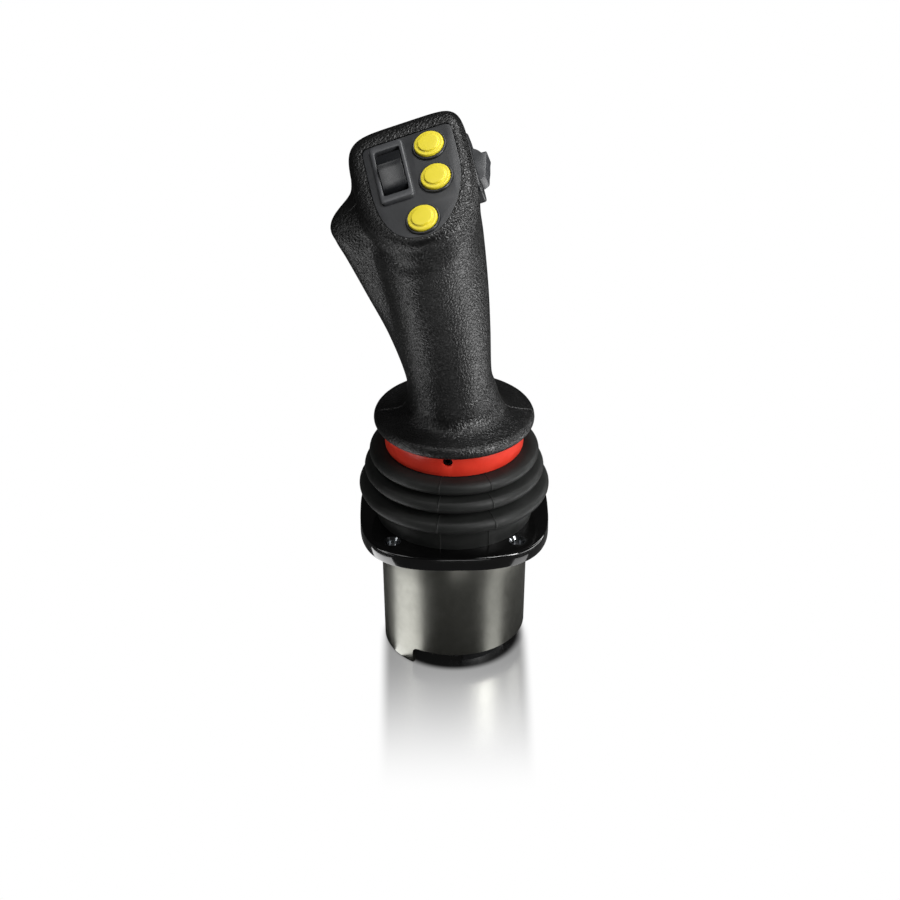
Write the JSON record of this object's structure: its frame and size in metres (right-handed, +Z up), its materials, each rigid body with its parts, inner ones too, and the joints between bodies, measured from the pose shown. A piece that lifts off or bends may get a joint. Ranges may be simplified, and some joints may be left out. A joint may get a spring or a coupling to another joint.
{
  "type": "industrial joystick",
  "caption": "Two-axis hand controller: leaning grip with push buttons and rockers on a gimbal base, rubber bellows and a flanged can for panel mounting.",
  "frame": {"origin": "centre of the mounting flange's underside, which is also the centre of its four-hole pattern", "axes": "+Z up out of the panel through the lever at rest, +X to the operator's right, -Y towards the operator"},
  "size_m": [0.1009, 0.0902, 0.2635],
  "materials": {
    "can_coat": "satin dark gunmetal coat",
    "flange_coat": "gloss black",
    "steel": "bright zinc-plated steel",
    "alloy": "machined",
    "bronze": "sintered bronze",
    "board": "green circuit board",
    "black_nylon": "moulded, satin",
    "contact": "gold plated",
    "bellows_rubber": "matte moulded rubber",
    "magnet": "nickel plated",
    "collar_red": "satin red",
    "grip_leather": "near-black, leather grain, semi-gloss",
    "screw_black": "black oxide",
    "plate_grey": "smooth satin dark grey",
    "bezel_black": "satin black",
    "bezel_grey": "satin mid grey",
    "rocker_black": "satin black",
    "rocker_grey": "satin mid grey",
    "cap_yellow": "semi-gloss yellow"
  },
  "bodies": {
    "base": {"housing": "can_coat", "flange": "flange_coat", "flange_screws": "steel", "gimbal_carrier": "alloy", "carrier_bushings": "bronze", "gate_plate": "alloy", "tie_screws": "steel", "lower_spacers": "alloy", "upper_spacers": "alloy", "sensor_board": "board", "hall_sensor": "black_nylon", "base_plate": "black_nylon", "connector_shroud": "black_nylon", "connector_body": "black_nylon", "connector_pins": "contact", "terminal_tabs": "steel", "bellows_clamp": "black_nylon", "bellows_lower": "bellows_rubber", "pitch_springs": "steel"},
    "gimbal": {"gimbal_ring": "alloy", "gimbal_pins": "steel", "ring_bushings": "bronze", "bellows_upper": "bellows_rubber", "roll_springs": "steel"},
    "lever": {"lever_shaft": "alloy", "hub_pins": "steel", "magnet": "magnet", "collar": "collar_red", "collar_set_screw": "black_nylon", "core_screws": "steel", "shell_screws": "steel", "grip_core": "alloy", "cross_pin": "steel", "grip_front": "grip_leather", "grip_rear": "grip_leather", "grip_screws": "screw_black", "face_plate": "plate_grey", "button_bezels": "bezel_black", "button_switches": "black_nylon", "button_spring_1": "steel", "button_spring_2": "steel", "button_spring_3": "steel", "face_bezel": "bezel_grey", "face_pin": "steel", "side_bezel": "bezel_black", "side_pin": "steel"},
    "button_1": {"button_cap_1": "cap_yellow"},
    "button_2": {"button_cap_2": "cap_yellow"},
    "button_3": {"button_cap_3": "cap_yellow"},
    "face_rocker": {"face_rocker": "rocker_black"},
    "side_rocker": {"side_rocker": "rocker_grey"}
  },
  "joints": [
    {"name": "tilt_fore_aft", "type": "hinge", "parent": "base", "child": "gimbal", "pos_m": [0, 0, -0.006], "axis": [1, 0, 0], "range_deg": [-18, 18], "stiffness_Nm_per_rad": 6, "deforming": ["bellows_lower", "pitch_springs"]},
    {"name": "tilt_left_right", "type": "hinge", "parent": "gimbal", "child": "lever", "pos_m": [0, 0, -0.006], "axis": [0, 1, 0], "range_deg": [-18, 18], "stiffness_Nm_per_rad": 6, "deforming": ["bellows_upper", "roll_springs"]},
    {"name": "button_1_press", "type": "slide", "parent": "lever", "child": "button_1", "axis": [0.256, 0.4494, -0.8559], "range_m": [0, 0.0015], "stiffness_N_per_m": 600, "deforming": ["button_spring_1"]},
    {"name": "button_2_press", "type": "slide", "parent": "lever", "child": "button_2", "axis": [0.256, 0.4494, -0.8559], "range_m": [0, 0.0015], "stiffness_N_per_m": 600, "deforming": ["button_spring_2"]},
    {"name": "button_3_press", "type": "slide", "parent": "lever", "child": "button_3", "axis": [0.256, 0.4494, -0.8559], "range_m": [0, 0.0015], "stiffness_N_per_m": 600, "deforming": ["button_spring_3"]},
    {"name": "face_rocker_swing", "type": "hinge", "parent": "lever", "child": "face_rocker", "pos_m": [-0.02585, 0.00728, 0.17464], "axis": [0.9494, 0.0499, 0.3102], "range_deg": [-12, 12], "stiffness_Nm_per_rad": 0.06},
    {"name": "side_rocker_swing", "type": "hinge", "parent": "lever", "child": "side_rocker", "pos_m": [0.00584, 0.00718, 0.17986], "axis": [0.256, 0.4494, -0.8559], "range_deg": [-12, 12], "stiffness_Nm_per_rad": 0.06}
  ]
}
